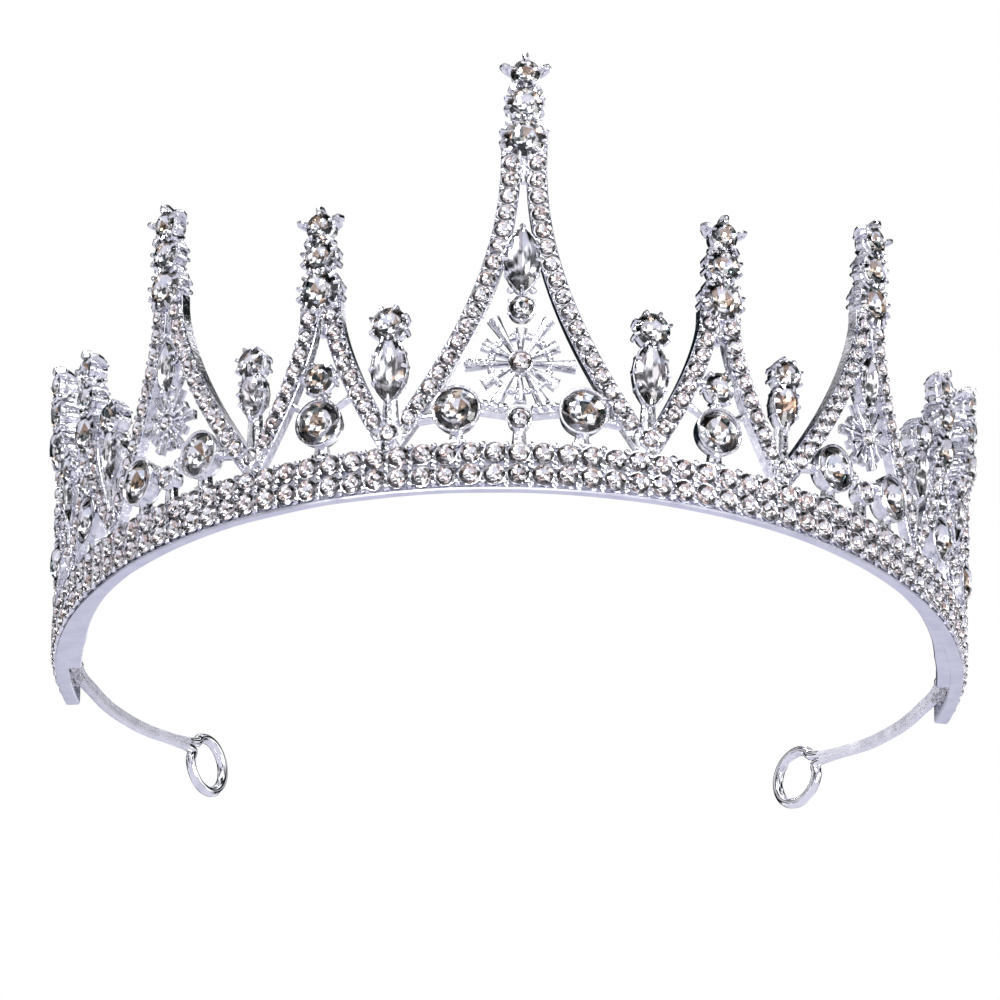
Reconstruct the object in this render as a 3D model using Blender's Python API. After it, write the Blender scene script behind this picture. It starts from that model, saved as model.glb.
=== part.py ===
"""Bridal tiara: a jewelled band, nine arches, eight finials, three starbursts and two bendable arms.

Units are metres and +Z is up. The front faces -Y and the plane X = 0 is the mirror plane.
Every ornament is first modelled flat, in millimetres, in the axes u, w, z: u runs along the band,
w points outwards from the band's face and z points up. `bend` then wraps it onto the wall above
the band, an ellipse seen from above, and turns it into metres.
"""
import bisect
import math

import bmesh
import bpy
from mathutils import Vector

MM = 0.001

# ---------------------------------------------------------------- driving dimensions, millimetres
STONE_PITCH = 3.8                      # spacing of the round stones along the band
WALL_HALF_WIDTH = 74.0                 # the band's outer face, an ellipse seen from above
WALL_HALF_DEPTH = 78.0
WALL_CENTRE_Y = 11.2                   # puts the origin under the middle of the whole tiara
WALL_LEAN = math.tan(math.radians(2.1))    # everything above the band leans outwards this much
GAP = 0.3                              # clearance between neighbouring pieces

BAND_HALF_ARC = 35.4 * STONE_PITCH
BAND_HEIGHT = 8.3
BAND_THICKNESS = 2.4
BAND_CHAMFER = 0.3
BAND_SECTIONS = 49

LEG_HALF_WIDTH = 1.6
LEG_THICKNESS = 1.9
LEG_TOP_SPACING = 2.0                  # half the distance between an arch's legs at their top
LEG_FOOT = BAND_HEIGHT + GAP

# The spire on every arch: a large, a medium and a small round cup, one above the other.
LARGE_CUP, MEDIUM_CUP, TOP_CUP = 3.7, 3.05, 2.65
MEDIUM_RISE = 5.8
TOP_RISE = 11.0
LEGS_BELOW_SPIRE = 4.2                 # legs reach their narrowest this far under the large cup
LEGS_INTO_SPIRE = 2.0                  # and run on upwards into it, to this far under its centre
LARGE_STONE = 3.1

CUP_SIDES, SET_CUP_SIDES = 10, 8

BEZEL_CUP = 3.95
BEZEL_STONE = 3.25
BEZEL_HEIGHT = 13.7
SMALL_CUP = 2.2
LEG_LINK_HEIGHT = 12.8                 # bars from the bezels of a burst arch out to its legs
POST_WIDTH = 1.7

# name, position along the band, half widths at the foot towards the front and towards the back,
# height of the large cup, how sharply the legs curve, and what fills the arch
ARCHES = (
    ("arch_1", 0.0, 20.7, 20.7, 59.7, 2.0, "burst"),
    ("arch_2", 32.3, 11.6, 12.5, 36.0, 1.45, "drop"),
    ("arch_3", 63.3, 18.5, 16.2, 44.7, 1.50, "burst"),
    ("arch_4", 88.3, 8.8, 10.1, 28.8, 1.45, "drop"),
    ("arch_5", 107.0, 8.6, 8.6, 34.0, 1.45, "drop"),
)

# what a burst arch holds: bezel positions, starburst size, marquise height and size, and the height
# of a small cup under the marquise, where there is one
BURSTS = {
    "arch_1": {"bezels": (-9.9, 9.9), "star": 1.0, "marquise_z": 38.8, "marquise": 1.0, "cup_z": 30.8},
    "arch_3": {"bezels": (-7.9, 7.1), "star": 0.66, "marquise_z": 31.0, "marquise": 0.8, "cup_z": None},
}
STAR_HEIGHT = 21.6
STAR_LOW_CUP_HEIGHT = 12.2
# length of the starburst's rays, one every 30 degrees, from straight up round to straight down
STAR_RAYS = (5.9, 8.7, 6.6, 8.3, 6.6, 7.6, 6.4)
STAR_HUB = 2.4
STAR_CUP = 2.0

# what a drop arch holds over its bezel: the upper cup's height and radius
DROPS = {"arch_2": (21.1, 2.7), "arch_4": (19.9, 1.7), "arch_5": (20.2, 1.9)}

# position along the band, size, height of the round cup and of the marquise under it
FINIALS = (
    ("finial_1", 20.7, 1.0, 28.7, 21.4),
    ("finial_2", 44.8, 0.75, 26.4, 21.5),
    ("finial_3", 79.5, 0.86, 28.0, 22.0),
    ("finial_4", 98.4, 0.8, 26.7, 21.8),
)
FINIAL_CUP = 2.8
FINIAL_STEM_FOOT = 15.1

MARQUISE_HALF_WIDTH = 2.35             # the stone's girdle
MARQUISE_HALF_LENGTH = 5.3
MARQUISE_WALL = 0.55

# The side arms: flat doubled wires with a round eye at the free end.
WIRE = 1.5
ARM_HEIGHT = 3.2
ARM_END_HEIGHT = 2.0                   # the arms taper towards their eyes
ANCHOR_START = 102.0                   # the anchors' front ends, measured along the wall
ANCHOR_BOTTOM = 0.5
HINGE_X, HINGE_Y = 70.1, 6.0           # from the wall's centre, on the right-hand side
# the right arm's middle line from its hinge, from the wall's centre, with its height
ARM_ROUTE = (
    (70.1, 6.3, 2.1), (69.5, 9.6, 2.2), (68.2, 14.6, 2.6), (66.7, 20.5, 3.1),
    (64.6, 27.6, 3.8), (60.6, 37.0, 4.7), (55.6, 45.3, 5.6), (52.3, 50.4, 6.0),
)
EYE_RADIUS = 4.75                      # middle line of the eye's wire
EYE_HEIGHT = 5.6

METAL = {"color": (0.80, 0.80, 0.84, 1.0), "roughness": 0.12, "metallic": 1.0}
ARM_METAL = {"color": (0.74, 0.74, 0.80, 1.0), "roughness": 0.2, "metallic": 1.0}
CRYSTAL = {"color": (0.88, 0.90, 0.93, 1.0), "roughness": 0.03, "metallic": 0.0}


# ---------------------------------------------------------------- the wall and its coordinates
def wall_steps():
    """The ellipse's angle and the arc length from the front centre, at small equal steps."""
    steps = 3000
    angles = [math.radians(125.0) * i / steps for i in range(steps + 1)]
    lengths = [0.0]
    for i in range(steps):
        middle = (angles[i] + angles[i + 1]) / 2
        speed = math.hypot(WALL_HALF_WIDTH * math.cos(middle), WALL_HALF_DEPTH * math.sin(middle))
        lengths.append(lengths[-1] + speed * (angles[i + 1] - angles[i]))
    return angles, lengths


WALL_ANGLES, WALL_LENGTHS = wall_steps()


def wall_point(arc):
    """The wall's point and outward normal, seen from above, at a signed arc length."""
    side = -1.0 if arc < 0.0 else 1.0
    distance = abs(arc)
    i = min(max(bisect.bisect_left(WALL_LENGTHS, distance), 1), len(WALL_LENGTHS) - 1)
    share = (distance - WALL_LENGTHS[i - 1]) / (WALL_LENGTHS[i] - WALL_LENGTHS[i - 1])
    angle = WALL_ANGLES[i - 1] + share * (WALL_ANGLES[i] - WALL_ANGLES[i - 1])
    point = Vector((side * WALL_HALF_WIDTH * math.sin(angle), -WALL_HALF_DEPTH * math.cos(angle)))
    normal = Vector((side * WALL_HALF_DEPTH * math.sin(angle), -WALL_HALF_WIDTH * math.cos(angle)))
    return point, normal.normalized()


def bend(arc, w, z):
    """A point of the flat drawing on the curved wall, in metres from the wall's centre."""
    point, normal = wall_point(arc)
    outwards = w + WALL_LEAN * max(0.0, z - BAND_HEIGHT)
    plan = point + normal * outwards
    return Vector((plan.x, plan.y, z)) * MM


# ---------------------------------------------------------------- flat solids, millimetres
def circle(radius, sides):
    """Corners of a regular polygon, in u and z."""
    turns = [2 * math.pi * i / sides for i in range(sides)]
    return [(radius * math.cos(turn), radius * math.sin(turn)) for turn in turns]


def marquise(half_width, half_length, points_per_side=4):
    """A marquise outline, two arcs that meet in a tip at the top and at the bottom."""
    arc_radius = (half_width ** 2 + half_length ** 2) / (2 * half_width)
    reach = math.asin(half_length / arc_radius)
    outline = []
    for side in (1, -1):
        for i in range(points_per_side):
            turn = -reach + 2 * reach * i / points_per_side
            bulge = arc_radius * math.cos(turn) - (arc_radius - half_width)
            outline.append((side * bulge, side * arc_radius * math.sin(turn)))
    return outline


def ringed(outline, profile, u=0.0, z=0.0):
    """A closed solid of like rings, centred at u and z; profile holds (scale, w) back to front."""
    work = bmesh.new()
    rings = []
    for scale, w in profile:
        rings.append([work.verts.new((u + scale * x, w, z + scale * y)) for x, y in outline])
    count = len(outline)
    for lower, upper in zip(rings, rings[1:]):
        for i in range(count):
            j = (i + 1) % count
            work.faces.new((lower[i], lower[j], upper[j], upper[i]))
    work.faces.new(rings[0])
    work.faces.new(rings[-1])
    return finished(work)


def finished(work):
    """Turn a bmesh into a mesh with all its faces pointing out."""
    bmesh.ops.recalc_face_normals(work, faces=work.faces)
    mesh = bpy.data.meshes.new("flat")
    work.to_mesh(mesh)
    work.free()
    return mesh


def plate(outline, back, front):
    """A flat outline in u and z, between two depths."""
    return ringed(outline, ((1.0, back), (1.0, front)))


def bar(start, end, width, back, front):
    """A straight bar between two points in u and z."""
    along = Vector((end[0] - start[0], end[1] - start[1])).normalized() * (width / 2)
    across = Vector((-along.y, along.x))
    corners = [Vector(start) - across, Vector(end) - across, Vector(end) + across, Vector(start) + across]
    return plate([tuple(corner) for corner in corners], back, front)


def cup(u, z, radius, back, front):
    """A round cup that narrows towards its back."""
    return ringed(circle(radius, CUP_SIDES), ((0.72, back), (1.0, back + 1.2), (1.0, front)), u, z)


def set_cup(u, z, radius, back):
    """A round cup closed by its own small stone, as one domed solid."""
    profile = ((0.72, back), (1.0, back + 1.0), (1.0, 0.3), (0.55, 1.1))
    return ringed(circle(radius, SET_CUP_SIDES), profile, u, z)


def seat(u, z, radius, floor):
    """The round recess that a stone sits in."""
    return ringed(circle(radius, CUP_SIDES), ((1.0, floor), (1.0, 3.0)), u, z)


def joined(solids, recesses=()):
    """One closed solid from overlapping ones, with the recesses cut out of it."""
    base = bpy.data.objects.new("flat", solids[0])
    bpy.context.scene.collection.objects.link(base)
    helpers = [base]
    steps = [(solid, "UNION") for solid in solids[1:]] + [(recess, "DIFFERENCE") for recess in recesses]
    for mesh, operation in steps:
        helper = bpy.data.objects.new("helper", mesh)
        bpy.context.scene.collection.objects.link(helper)
        helpers.append(helper)
        modifier = base.modifiers.new(operation.lower(), "BOOLEAN")
        modifier.operation = operation
        modifier.solver = "EXACT"
        modifier.object = helper
    bpy.context.view_layer.update()
    evaluated = base.evaluated_get(bpy.context.evaluated_depsgraph_get())
    result = bpy.data.meshes.new_from_object(evaluated)
    for helper in helpers:
        bpy.data.objects.remove(helper)
    return result


# ---------------------------------------------------------------- placing pieces
def material(name, look):
    """A Principled material from a colour, a roughness and a metallic value."""
    made = bpy.data.materials.new(name)
    made.use_nodes = True
    shader = made.node_tree.nodes["Principled BSDF"]
    shader.inputs["Base Color"].default_value = look["color"]
    shader.inputs["Roughness"].default_value = look["roughness"]
    shader.inputs["Metallic"].default_value = look["metallic"]
    return made


def add_object(name, mesh, look, parent, location):
    """A named object with its own material, under its parent."""
    made = bpy.data.objects.new(name, mesh)
    made.data.name = name
    made.data.materials.clear()
    made.data.materials.append(material(name, look))
    made.data.shade_smooth()
    made.data.set_sharp_from_angle(angle=math.radians(35.0))
    made.location = location
    made.parent = parent
    bpy.context.scene.collection.objects.link(made)
    return made


def on_wall(name, flat, arc, side, look, parent):
    """Wrap a flat solid onto the wall; side is 1 on the right and -1 for its mirror copy.

    The flat axes u, w, z are left-handed on the right-hand side, so its faces are turned round.
    """
    work = bmesh.new()
    work.from_mesh(flat)
    bmesh.ops.triangulate(work, faces=work.faces)
    base = bend(side * arc, 0.0, 0.0)
    for vert in work.verts:
        vert.co = bend(side * (arc + vert.co.x), vert.co.y, vert.co.z) - base
    if side == 1:
        bmesh.ops.reverse_faces(work, faces=work.faces)
    mesh = bpy.data.meshes.new(name)
    work.to_mesh(mesh)
    work.free()
    return add_object(name, mesh, look, parent, base)


def both_sides(name, flat, arc, look, parent):
    """One piece on each side, or a single one when it stands at the front centre."""
    if arc == 0.0:
        on_wall(name + "_centre", flat, arc, 1, look, parent)
        return
    on_wall(name + "_right", flat, arc, 1, look, parent)
    on_wall(name + "_left", flat, arc, -1, look, parent)


# ---------------------------------------------------------------- band
def wall_strip(section, start, end, count):
    """A strip along the wall from a cross-section given in w and z."""
    work = bmesh.new()
    rings = []
    for i in range(count):
        arc = start + (end - start) * i / (count - 1)
        rings.append([work.verts.new(bend(arc, w, z)) for w, z in section])
    size = len(section)
    for first, second in zip(rings, rings[1:]):
        for i in range(size):
            j = (i + 1) % size
            work.faces.new((first[i], first[j], second[j], second[i]))
    work.faces.new(rings[0])
    work.faces.new(rings[-1])
    return finished(work)


def chamfered(back, front, bottom, top, cut):
    """A rectangle with chamfered corners, in w and z."""
    return [
        (back, bottom + cut), (back + cut, bottom), (front - cut, bottom), (front, bottom + cut),
        (front, top - cut), (front - cut, top), (back + cut, top), (back, top - cut),
    ]


def make_band(parent):
    section = chamfered(-BAND_THICKNESS, 0.0, 0.0, BAND_HEIGHT, BAND_CHAMFER)
    mesh = wall_strip(section, -BAND_HALF_ARC, BAND_HALF_ARC, BAND_SECTIONS)
    add_object("band", mesh, METAL, parent, (0.0, 0.0, 0.0))


# ---------------------------------------------------------------- arches
def leg_curve(foot, top, power):
    """The leg's distance from the arch's middle, and its slope, as functions of height."""
    rise = top - LEG_FOOT
    spread = foot - LEG_TOP_SPACING

    def middle(z):
        below = max(0.0, top - z) / rise
        return LEG_TOP_SPACING + spread * below ** power

    def half_width(z):
        below = max(0.0, top - z) / rise
        slope = spread * power * below ** (power - 1) / rise
        return LEG_HALF_WIDTH * math.sqrt(1.0 + slope ** 2)

    return middle, half_width


def leg(foot, large_z, power, side):
    """One leg of an arch, from the band up into the large cup."""
    top = large_z - LEGS_BELOW_SPIRE
    middle, half_width = leg_curve(foot, top, power)
    end = large_z - LEGS_INTO_SPIRE
    sections = 11 if large_z > 50 else 7
    outer = []
    inner = []
    for i in range(sections):
        z = LEG_FOOT + (end - LEG_FOOT) * i / (sections - 1)
        outer.append((side * min(middle(z) + half_width(z), foot - GAP / 2), z))
        inner.append((side * (middle(z) - half_width(z)), z))
    work = bmesh.new()
    rings = []
    for (outer_u, z), (inner_u, _) in zip(outer, inner):
        corners = ((outer_u, 0.0), (outer_u, -LEG_THICKNESS), (inner_u, -LEG_THICKNESS), (inner_u, 0.0))
        rings.append([work.verts.new((u, w, z)) for u, w in corners])
    for lower, upper in zip(rings, rings[1:]):
        for i in range(4):
            j = (i + 1) % 4
            work.faces.new((lower[i], lower[j], upper[j], upper[i]))
    work.faces.new(rings[0])
    work.faces.new(rings[-1])
    return finished(work)


def spire(large_z):
    """The three stacked cups of an arch and the seat of the large stone."""
    cups = [
        cup(0.0, large_z, LARGE_CUP, -3.0, 0.6),
        set_cup(0.0, large_z + MEDIUM_RISE, MEDIUM_CUP, -2.9),
        set_cup(0.0, large_z + TOP_RISE, TOP_CUP, -2.8),
    ]
    return cups, seat(0.0, large_z, LARGE_STONE + GAP, -1.9)


def bezel_on_post(u):
    """A bezel cup, the post that carries it, and the seat of its stone."""
    solids = [
        cup(u, BEZEL_HEIGHT, BEZEL_CUP, -2.75, 0.5),
        bar((u, LEG_FOOT), (u, BEZEL_HEIGHT), POST_WIDTH, -1.6, -0.4),
    ]
    return solids, seat(u, BEZEL_HEIGHT, BEZEL_STONE + GAP, -1.8)


def burst_filling(name, leg_at):
    """Marquise cup, small cups, bezels and bars inside an arch with a starburst."""
    burst = BURSTS[name]
    size = burst["marquise"]
    height = burst["marquise_z"]
    into_leg = leg_at(LEG_LINK_HEIGHT) + 1.0
    solids = [
        marquise_cup(0.0, height, size),
        bar((-leg_at(height + 1), height + 1), (leg_at(height + 1), height + 1), 1.3, -1.45, -0.45),
        set_cup(0.0, STAR_LOW_CUP_HEIGHT, SMALL_CUP * 0.9, -2.5),
        bar((0.0, LEG_FOOT), (0.0, STAR_LOW_CUP_HEIGHT), POST_WIDTH, -1.55, -0.35),
        bar((burst["bezels"][0], 13.2), (burst["bezels"][1], 13.2), 1.5, -1.65, -0.55),
    ]
    if burst["cup_z"]:
        solids.append(set_cup(0.0, burst["cup_z"], SMALL_CUP, -2.5))
        solids.append(bar((0.0, burst["cup_z"]), (0.0, height), 1.4, -1.5, -0.5))
    recesses = [marquise_seat(0.0, height, size)]
    for u in burst["bezels"]:
        cups, recess = bezel_on_post(u)
        solids += cups
        link_end = (math.copysign(into_leg, u), LEG_LINK_HEIGHT)
        solids.append(bar((u, LEG_LINK_HEIGHT), link_end, 1.4, -1.62, -0.52))
        recesses.append(recess)
    return solids, recesses


def drop_filling(name, leg_at):
    """One bezel and a small cup over it, braced to the legs, inside a plain arch."""
    upper_z, upper_radius = DROPS[name]
    brace_z = BEZEL_HEIGHT + 4.6
    solids, recess = bezel_on_post(0.0)
    solids += [
        set_cup(0.0, upper_z, upper_radius, -2.5),
        bar((0.0, BEZEL_HEIGHT), (0.0, upper_z), 1.3, -1.5, -0.5),
        bar((-leg_at(upper_z + 1), upper_z + 1), (leg_at(upper_z + 1), upper_z + 1), 1.2, -1.45, -0.45),
        bar((0.0, BEZEL_HEIGHT), (leg_at(brace_z), brace_z), 1.2, -1.65, -0.55),
        bar((0.0, BEZEL_HEIGHT), (-leg_at(brace_z), brace_z), 1.2, -1.7, -0.6),
    ]
    return solids, [recess]


def make_arches(parent):
    for name, arc, foot_in, foot_out, large_z, power, kind in ARCHES:
        solids = [leg(foot_in, large_z, power, -1), leg(foot_out, large_z, power, 1)]
        cups, recess = spire(large_z)
        narrow_side = leg_curve(min(foot_in, foot_out), large_z - LEGS_BELOW_SPIRE, power)[0]
        filling = burst_filling if kind == "burst" else drop_filling
        more, recesses = filling(name, narrow_side)
        both_sides(name, joined(solids + cups + more, [recess] + recesses), arc, METAL, parent)


# ---------------------------------------------------------------- starbursts
def starburst(size):
    """Twelve rays, each wider at its tip, round a hub with a small set cup."""
    lengths = STAR_RAYS + STAR_RAYS[-2:0:-1]
    outline = []
    for i, length in enumerate(lengths):
        turn = math.radians(90.0 - 30.0 * i)
        along = Vector((math.cos(turn), math.sin(turn)))
        across = Vector((-along.y, along.x))
        for reach, half in ((STAR_HUB, 0.32), (length, 0.75), (length, -0.75), (STAR_HUB, -0.32)):
            outline.append(tuple((along * reach + across * half) * size))
    solids = [
        ringed(outline, ((1.0, -1.5), (1.0, -0.3)), 0.0, STAR_HEIGHT),
        set_cup(0.0, STAR_HEIGHT, STAR_CUP * size ** 0.5, -2.3),
    ]
    return joined(solids)


def make_starbursts(parent):
    places = {row[0]: row[1] for row in ARCHES}
    for name, burst in BURSTS.items():
        both_sides(name.replace("arch", "starburst"), starburst(burst["star"]), places[name], METAL, parent)


# ---------------------------------------------------------------- finials
def marquise_cup(u, z, size):
    wall = MARQUISE_WALL + GAP
    outline = marquise(MARQUISE_HALF_WIDTH * size + wall, MARQUISE_HALF_LENGTH * size + wall)
    return ringed(outline, ((0.75, -2.7), (1.0, -1.7), (1.0, 0.25)), u, z)


def marquise_seat(u, z, size):
    outline = marquise(MARQUISE_HALF_WIDTH * size + GAP, MARQUISE_HALF_LENGTH * size + GAP)
    return ringed(outline, ((1.0, -1.6), (1.0, 3.0)), u, z)


def make_finials(parent):
    for name, arc, size, round_z, marquise_z in FINIALS:
        tip = marquise_z - MARQUISE_HALF_LENGTH * size
        solids = [
            marquise_cup(0.0, marquise_z, size),
            set_cup(0.0, round_z, FINIAL_CUP * size ** 0.5, -2.9),
            bar((0.0, marquise_z), (0.0, round_z), 1.6, -1.6, -0.4),
            bar((0.0, FINIAL_STEM_FOOT), (0.0, tip + 1.0), 1.2, -1.5, -0.5),
        ]
        both_sides(name, joined(solids, [marquise_seat(0.0, marquise_z, size)]), arc, METAL, parent)


# ---------------------------------------------------------------- stones
def round_stone(radius, girdle, u=0.0, z=0.0):
    """A round brilliant: flat table, crown, thin girdle and a cut-off pavilion."""
    culet = girdle - 0.55 * radius
    table = girdle + 0.32 * radius
    profile = ((0.3, culet), (1.0, girdle - 0.1), (1.0, girdle), (0.56, table))
    return ringed(circle(radius, CUP_SIDES), profile, u, z)


def marquise_stone(size, z):
    outline = marquise(MARQUISE_HALF_WIDTH * size, MARQUISE_HALF_LENGTH * size)
    return ringed(outline, ((0.35, -1.2), (1.0, -0.1), (1.0, 0.05), (0.5, 0.95)), 0.0, z)


def make_stones(parent):
    for name, arc, _, _, large_z, _, kind in ARCHES:
        place = name.replace("arch_", "")
        both_sides("spire_stone_" + place, round_stone(LARGE_STONE, 0.3, 0.0, large_z), arc, CRYSTAL, parent)
        if kind == "drop":
            stone = round_stone(BEZEL_STONE, 0.3, 0.0, BEZEL_HEIGHT)
            both_sides("bezel_stone_" + place, stone, arc, CRYSTAL, parent)
            continue
        burst = BURSTS[name]
        for label, u in zip(("front", "back"), burst["bezels"]):
            stone = round_stone(BEZEL_STONE, 0.3, u, BEZEL_HEIGHT)
            if arc == 0.0:
                side = "left" if u < 0 else "right"
                on_wall("bezel_stone_" + place + "_" + side, stone, arc, 1, CRYSTAL, parent)
            else:
                both_sides("bezel_stone_" + place + "_" + label, stone, arc, CRYSTAL, parent)
        stone = marquise_stone(burst["marquise"], burst["marquise_z"])
        both_sides("marquise_stone_" + place, stone, arc, CRYSTAL, parent)
    for name, arc, size, _, marquise_z in FINIALS:
        both_sides(name + "_stone", marquise_stone(size, marquise_z), arc, CRYSTAL, parent)


# ---------------------------------------------------------------- side arms
def smooth_route(points, per_span):
    """A Catmull-Rom curve through the points."""
    ends = [2 * points[0] - points[1]] + points + [2 * points[-1] - points[-2]]
    route = []
    for a, b, c, d in zip(ends, ends[1:], ends[2:], ends[3:]):
        for i in range(per_span):
            t = i / per_span
            route.append(0.5 * (2 * b + (c - a) * t + (2 * a - 5 * b + 4 * c - d) * t ** 2
                                + (3 * b - a - 3 * c + d) * t ** 3))
    route.append(points[-1])
    return route


def swept(route, half_thickness, heights):
    """A chamfered flat strip along a route, tapering between two heights; its broad sides are upright."""
    work = bmesh.new()
    rings = []
    for i, point in enumerate(route):
        half_height = (heights[0] + (heights[1] - heights[0]) * i / (len(route) - 1)) / 2
        section = chamfered(-half_thickness, half_thickness, -half_height, half_height, 0.4 * half_thickness)
        ahead = route[min(i + 1, len(route) - 1)] - route[max(i - 1, 0)]
        across = Vector((ahead.y, -ahead.x, 0.0)).normalized()
        rings.append([work.verts.new(point + across * w + Vector((0.0, 0.0, z))) for w, z in section])
    for first, second in zip(rings, rings[1:]):
        for i in range(8):
            j = (i + 1) % 8
            work.faces.new((first[i], first[j], second[j], second[i]))
    work.faces.new(rings[0])
    work.faces.new(rings[-1])
    return finished(work)


def eye(centre, along):
    """The round wire eye, upright, in the plane of the arm's last stretch."""
    around, section = 16, 6
    work = bmesh.new()
    rings = []
    up = Vector((0.0, 0.0, 1.0))
    across = along.cross(up)
    for i in range(around):
        turn = 2 * math.pi * i / around
        out = along * math.cos(turn) + up * math.sin(turn)
        ring = []
        for j in range(section):
            roll = 2 * math.pi * j / section
            offset = (out * math.cos(roll) + across * math.sin(roll)) * (WIRE / 2)
            ring.append(work.verts.new(centre + out * EYE_RADIUS + offset))
        rings.append(ring)
    for i in range(around):
        first, second = rings[i], rings[(i + 1) % around]
        for j in range(section):
            k = (j + 1) % section
            work.faces.new((first[j], first[k], second[k], second[j]))
    return finished(work)


def make_arm(name, side, parent):
    """One bendable arm with its eye; its origin is on the upright axis that it bends about."""
    points = [Vector((side * x, y, z)) for x, y, z in ARM_ROUTE]
    route = smooth_route(points, 2)
    along = points[-1] - points[-2]
    along.z = 0.0
    along.normalize()
    centre = points[-1] + along * EYE_RADIUS
    centre.z = EYE_HEIGHT
    end = points[-1] + along * (WIRE * 0.1)
    strip = swept(route + [end], WIRE / 2, (ARM_HEIGHT, ARM_END_HEIGHT))
    mesh = joined([strip, eye(centre, along)])
    hinge = Vector((side * HINGE_X, HINGE_Y, 0.0))
    for vert in mesh.vertices:
        vert.co = (vert.co - hinge) * MM
    add_object(name, mesh, ARM_METAL, parent, hinge * MM)


def make_anchor(name, side, parent):
    """The part of an arm that is soldered along the band's inner face."""
    front = -BAND_THICKNESS - GAP
    back = front - WIRE
    section = chamfered(back, front, ANCHOR_BOTTOM, ANCHOR_BOTTOM + ARM_HEIGHT, 0.3)
    end = anchor_end()
    mesh = wall_strip(section, side * ANCHOR_START, side * end, 10)
    add_object(name, mesh, ARM_METAL, parent, (0.0, 0.0, 0.0))


def anchor_end():
    """Arc length where the wall passes the hinges, less a gap."""
    arc = ANCHOR_START
    while wall_point(arc)[0].y < HINGE_Y - GAP:
        arc += 0.05
    return arc


def main():
    for old in list(bpy.data.objects):
        bpy.data.objects.remove(old)
    tiara = bpy.data.objects.new("tiara", None)
    bpy.context.scene.collection.objects.link(tiara)
    tiara.location = (0.0, WALL_CENTRE_Y * MM, 0.0)
    make_band(tiara)
    make_arches(tiara)
    make_starbursts(tiara)
    make_finials(tiara)
    make_stones(tiara)
    for name, side in (("right", 1), ("left", -1)):
        make_anchor(name + "_arm_anchor", side, tiara)
        make_arm(name + "_arm", side, tiara)


main()
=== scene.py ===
"""Looks of the bridal tiara: a jewelled band, nine arches, finials, starbursts and two wire arms.

Ornaments are drawn flat, in millimetres, in the axes u, w, z: u runs along the band, w points
outwards from its face and z up. `bend` wraps them onto the wall, an ellipse seen from above whose
size is read from the frame, and turns them into metres.
"""
import math
import random

import bpy
import bmesh
from mathutils import Matrix, Vector, noise


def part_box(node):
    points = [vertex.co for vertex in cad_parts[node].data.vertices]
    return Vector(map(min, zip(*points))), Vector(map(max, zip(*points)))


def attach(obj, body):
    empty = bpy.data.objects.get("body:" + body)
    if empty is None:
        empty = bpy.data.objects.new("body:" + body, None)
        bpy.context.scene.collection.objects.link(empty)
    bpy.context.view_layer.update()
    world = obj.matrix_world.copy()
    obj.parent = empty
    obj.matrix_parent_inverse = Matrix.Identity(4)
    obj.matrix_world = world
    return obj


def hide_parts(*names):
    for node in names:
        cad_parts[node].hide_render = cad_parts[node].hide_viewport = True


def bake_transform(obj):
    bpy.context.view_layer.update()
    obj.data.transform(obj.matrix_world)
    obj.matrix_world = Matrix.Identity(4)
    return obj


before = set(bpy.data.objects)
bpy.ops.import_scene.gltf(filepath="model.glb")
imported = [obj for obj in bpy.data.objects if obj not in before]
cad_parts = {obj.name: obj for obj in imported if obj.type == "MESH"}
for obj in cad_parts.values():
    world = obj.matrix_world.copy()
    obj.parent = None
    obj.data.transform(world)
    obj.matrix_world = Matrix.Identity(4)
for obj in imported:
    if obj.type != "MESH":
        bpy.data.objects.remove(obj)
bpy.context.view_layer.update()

MM = 0.001
TAU = 2 * math.pi

# ---------------------------------------------------------------- driving dimensions, millimetres
STONE_PITCH = 3.8
STONES_EACH_SIDE = 35
BAND_ROWS = (2.75, 6.3)
BAND_HEIGHT = 8.3
BAND_THICKNESS = 2.4
BAND_HALF_ARC = 35.4 * STONE_PITCH
BAND_CUP, BAND_STONE = 1.88, 1.70
LIP_FRONT = 1.45                       # the lip is thinner at the front than at the sides
LIP_START, LIP_GROWTH = 48.0, 46.0      # arc where the lip starts to thicken, and over what length
LEDGE_START, LEDGE_END = 64.0, 118.5
LEDGE_GROWTH = 42.0
WALL_LEAN = math.tan(math.radians(2.1))
WALL_DEPTH_RATIO = 78.0 / 74.0

LEG_HALF_WIDTH = 1.6
LEG_THICKNESS = 1.9
LEG_TOP_SPACING = 2.0
LEG_FOOT = BAND_HEIGHT
LEGS_BELOW_SPIRE = 4.2
LEGS_INTO_SPIRE = 2.0
LEG_STONE_PITCH = 2.9
LEG_CUP, LEG_STONE = 1.5, 1.36
JUNCTION_HEIGHT = 10.5                 # the stone where the legs of two arches meet
JUNCTION_CUP, JUNCTION_STONE = 1.62, 1.42

# radii of the stacked cups and their stones, and how far the upper two are over the lowest
LARGE_CUP, LARGE_STONE = 3.55, 3.34
MEDIUM_RISE, MEDIUM_CUP, MEDIUM_STONE = 5.8, 2.95, 2.76
TOP_RISE, TOP_CUP, TOP_STONE = 11.0, 2.45, 2.28
BEZEL_CUP, BEZEL_STONE = 3.95, 3.42
MARQUISE_WIDTH, MARQUISE_LENGTH = 2.35, 5.3      # half of each, at size 1

# a round stone's cut, in shares of its radius
TABLE_SHARE, CROWN_RISE, GIRDLE_DROP = 0.54, 0.36, 0.05
MAINS_SHARE, MAINS_DROP, CULET_DROP = 0.52, 0.34, 0.58

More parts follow.
